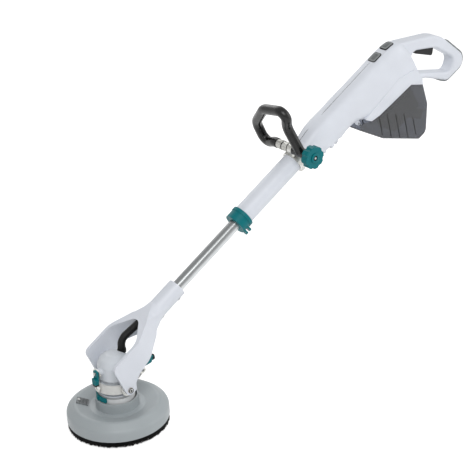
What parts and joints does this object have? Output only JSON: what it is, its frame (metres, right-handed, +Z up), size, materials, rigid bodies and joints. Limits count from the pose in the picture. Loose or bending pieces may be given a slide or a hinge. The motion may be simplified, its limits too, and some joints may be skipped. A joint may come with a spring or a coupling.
{
  "type": "pole drywall sander",
  "caption": "Long-pole wall and ceiling sander: round sanding head in a tilting fork, telescopic pole, hooped front handle, and a rear housing with grip, trigger and battery cover.",
  "frame": {"origin": "centre of the sanding face", "axes": "+Z up out of the pad through the motor, +X along the floor under the pole towards the rear grip, +Y across; the tool's plane of symmetry is XZ"},
  "size_m": [1.3067, 0.251, 0.7512],
  "materials": {
    "housing_left": "pale grey, fine grain",
    "housing_right": "pale grey, fine grain",
    "housing_screws": "plain",
    "outer_tube": "anodised",
    "tube_bush": "moulded",
    "grip_clamp": "fine grain",
    "hinge_pins": "ground",
    "button_bezels": "fine grain",
    "control_boards": "board and potting",
    "terminal_block": "moulded",
    "trigger_switch": "moulded",
    "battery": "fine grain",
    "grip_bumper": "soft grip",
    "fork": "pale grey, fine grain",
    "fork_cover": "pale grey, fine grain",
    "fork_bolts": "plain",
    "pitch_bushes": "turned",
    "inner_tube": "anodised",
    "inner_guide": "moulded",
    "fork_gland": "moulded",
    "hose_upper": "ribbed",
    "gimbal_ring": "pale grey",
    "roll_pins": "plain",
    "pitch_bolts": "blackened",
    "lock_quadrants": "pressed",
    "shroud": "silver-grey, fine grain",
    "brush_skirt": "bristles",
    "vent_grille": "fine grain",
    "gear_case": "cast, painted pale grey",
    "bearings": "ground",
    "case_screws": "plain",
    "case_plate": "cast",
    "stator": "laminated",
    "motor_housing": "fine grain",
    "swing_bolt": "plain",
    "hose_gland": "moulded",
    "hose_lower": "ribbed",
    "sanding_disc": "abrasive sheet",
    "pad_foam": "foam",
    "backing_plate": "fine grain",
    "spindle": "turned",
    "pad_screw": "plain",
    "gear_wheel": "machined",
    "rotor": "laminated",
    "drive_pinion": "machined",
    "cooling_fan": "moulded",
    "tilt_lever": "teal",
    "swing_lever": "teal",
    "guard_catch": "teal",
    "collar": "teal",
    "loop_handle": "soft grip",
    "handle_ferrules": "turned",
    "handle_bolt": "plain",
    "clamp_knob": "teal",
    "knob_hub": "moulded",
    "trigger": "fine grain",
    "power_button": "satin",
    "speed_button": "satin",
    "cover_release": "teal",
    "battery_cover": "smoked, satin"
  },
  "bodies": {
    "housing": {"housing_left": "housing_left", "housing_right": "housing_right", "housing_screws": "housing_screws", "outer_tube": "outer_tube", "tube_bush": "tube_bush", "grip_clamp": "grip_clamp", "hinge_pins": "hinge_pins", "button_bezels": "button_bezels", "control_boards": "control_boards", "terminal_block": "terminal_block", "trigger_switch": "trigger_switch", "battery": "battery", "grip_bumper": "grip_bumper"},
    "fork": {"fork": "fork", "fork_cover": "fork_cover", "fork_bolts": "fork_bolts", "pitch_bushes": "pitch_bushes", "inner_tube": "inner_tube", "inner_guide": "inner_guide", "fork_gland": "fork_gland", "hose_upper": "hose_upper"},
    "gimbal": {"gimbal_ring": "gimbal_ring", "roll_pins": "roll_pins", "pitch_bolts": "pitch_bolts", "lock_quadrants": "lock_quadrants"},
    "head": {"shroud": "shroud", "brush_skirt": "brush_skirt", "vent_grille": "vent_grille", "gear_case": "gear_case", "bearings": "bearings", "case_screws": "case_screws", "case_plate": "case_plate", "stator": "stator", "motor_housing": "motor_housing", "swing_bolt": "swing_bolt", "hose_gland": "hose_gland", "hose_lower": "hose_lower"},
    "pad": {"sanding_disc": "sanding_disc", "pad_foam": "pad_foam", "backing_plate": "backing_plate", "spindle": "spindle", "pad_screw": "pad_screw", "gear_wheel": "gear_wheel"},
    "rotor": {"rotor": "rotor", "drive_pinion": "drive_pinion", "cooling_fan": "cooling_fan"},
    "tilt_lever": {"tilt_lever": "tilt_lever"},
    "swing_lever": {"swing_lever": "swing_lever"},
    "guard_catch": {"guard_catch": "guard_catch"},
    "collar": {"collar": "collar"},
    "front_handle": {"loop_handle": "loop_handle", "handle_ferrules": "handle_ferrules", "handle_bolt": "handle_bolt"},
    "knob": {"clamp_knob": "clamp_knob", "knob_hub": "knob_hub"},
    "trigger": {"trigger": "trigger"},
    "power_button": {"power_button": "power_button"},
    "speed_button": {"speed_button": "speed_button"},
    "cover_release": {"cover_release": "cover_release"},
    "battery_cover": {"battery_cover": "battery_cover"}
  },
  "joints": [
    {"name": "pole_slide", "type": "slide", "parent": "housing", "child": "fork", "axis": [-0.866, 0, -0.5], "range_m": [-0.18, 0.24]},
    {"name": "head_pitch", "type": "hinge", "parent": "fork", "child": "gimbal", "pos_m": [0, 0, 0.115], "axis": [0, 1, 0], "range_deg": [-20, 40], "deforming": ["hose_upper"]},
    {"name": "head_roll", "type": "hinge", "parent": "gimbal", "child": "head", "pos_m": [0, 0, 0.115], "axis": [1, 0, 0], "range_deg": [-5, 5], "deforming": ["hose_lower"]},
    {"name": "pad_spin", "type": "hinge", "parent": "head", "child": "pad", "pos_m": [0, 0, 0.02], "axis": [0, 0, 1], "continuous": true},
    {"name": "rotor_spin", "type": "hinge", "parent": "head", "child": "rotor", "pos_m": [-0.015, 0, 0.1], "axis": [0, 0, 1], "continuous": true},
    {"name": "tilt_lever_turn", "type": "hinge", "parent": "fork", "child": "tilt_lever", "pos_m": [0.02967, -0.05, 0.16249], "axis": [0, 1, 0], "range_deg": [0, 25]},
    {"name": "swing_lever_turn", "type": "hinge", "parent": "head", "child": "swing_lever", "pos_m": [-0.056, -0.00375, 0.15784], "axis": [1, 0, 0], "range_deg": [0, 60]},
    {"name": "guard_catch_turn", "type": "hinge", "parent": "head", "child": "guard_catch", "pos_m": [0, 0, 0.067], "axis": [0, 0, 1], "range_deg": [-10, 10]},
    {"name": "collar_turn", "type": "hinge", "parent": "housing", "child": "collar", "pos_m": [0.40055, 0, 0.41323], "axis": [0.866, 0, 0.5], "range_deg": [0, 50]},
    {"name": "handle_swing", "type": "hinge", "parent": "housing", "child": "front_handle", "pos_m": [0.57157, 0, 0.557], "axis": [0, 1, 0], "range_deg": [-60, 40]},
    {"name": "knob_turn", "type": "hinge", "parent": "front_handle", "child": "knob", "pos_m": [0.57157, -0.077, 0.557], "axis": [0, 1, 0], "range_deg": [-180, 180]},
    {"name": "trigger_pull", "type": "hinge", "parent": "housing", "child": "trigger", "pos_m": [0.99657, 0, 0.71289], "axis": [0, -1, 0], "range_deg": [0, 7], "stiffness_Nm_per_rad": 2, "springref_deg": -5.73},
    {"name": "power_press", "type": "slide", "parent": "housing", "child": "power_button", "axis": [0.5, 0, -0.866], "range_m": [0, 0.001], "stiffness_N_per_m": 800, "springref_m": -0.001},
    {"name": "speed_press", "type": "slide", "parent": "housing", "child": "speed_button", "axis": [0.309, 0, -0.9511], "range_m": [0, 0.001], "stiffness_N_per_m": 800, "springref_m": -0.001},
    {"name": "release_press", "type": "slide", "parent": "housing", "child": "cover_release", "axis": [0, -1, 0], "range_m": [0, 0.0015], "stiffness_N_per_m": 800, "springref_m": -0.001},
    {"name": "cover_hinge", "type": "hinge", "parent": "housing", "child": "battery_cover", "pos_m": [0.78585, 0, 0.56987], "axis": [0, 1, 0], "range_deg": [0, 65]}
  ],
  "couplings": [
    {"joint": "rotor_spin", "follows": "pad_spin", "ratio": 3}
  ]
}
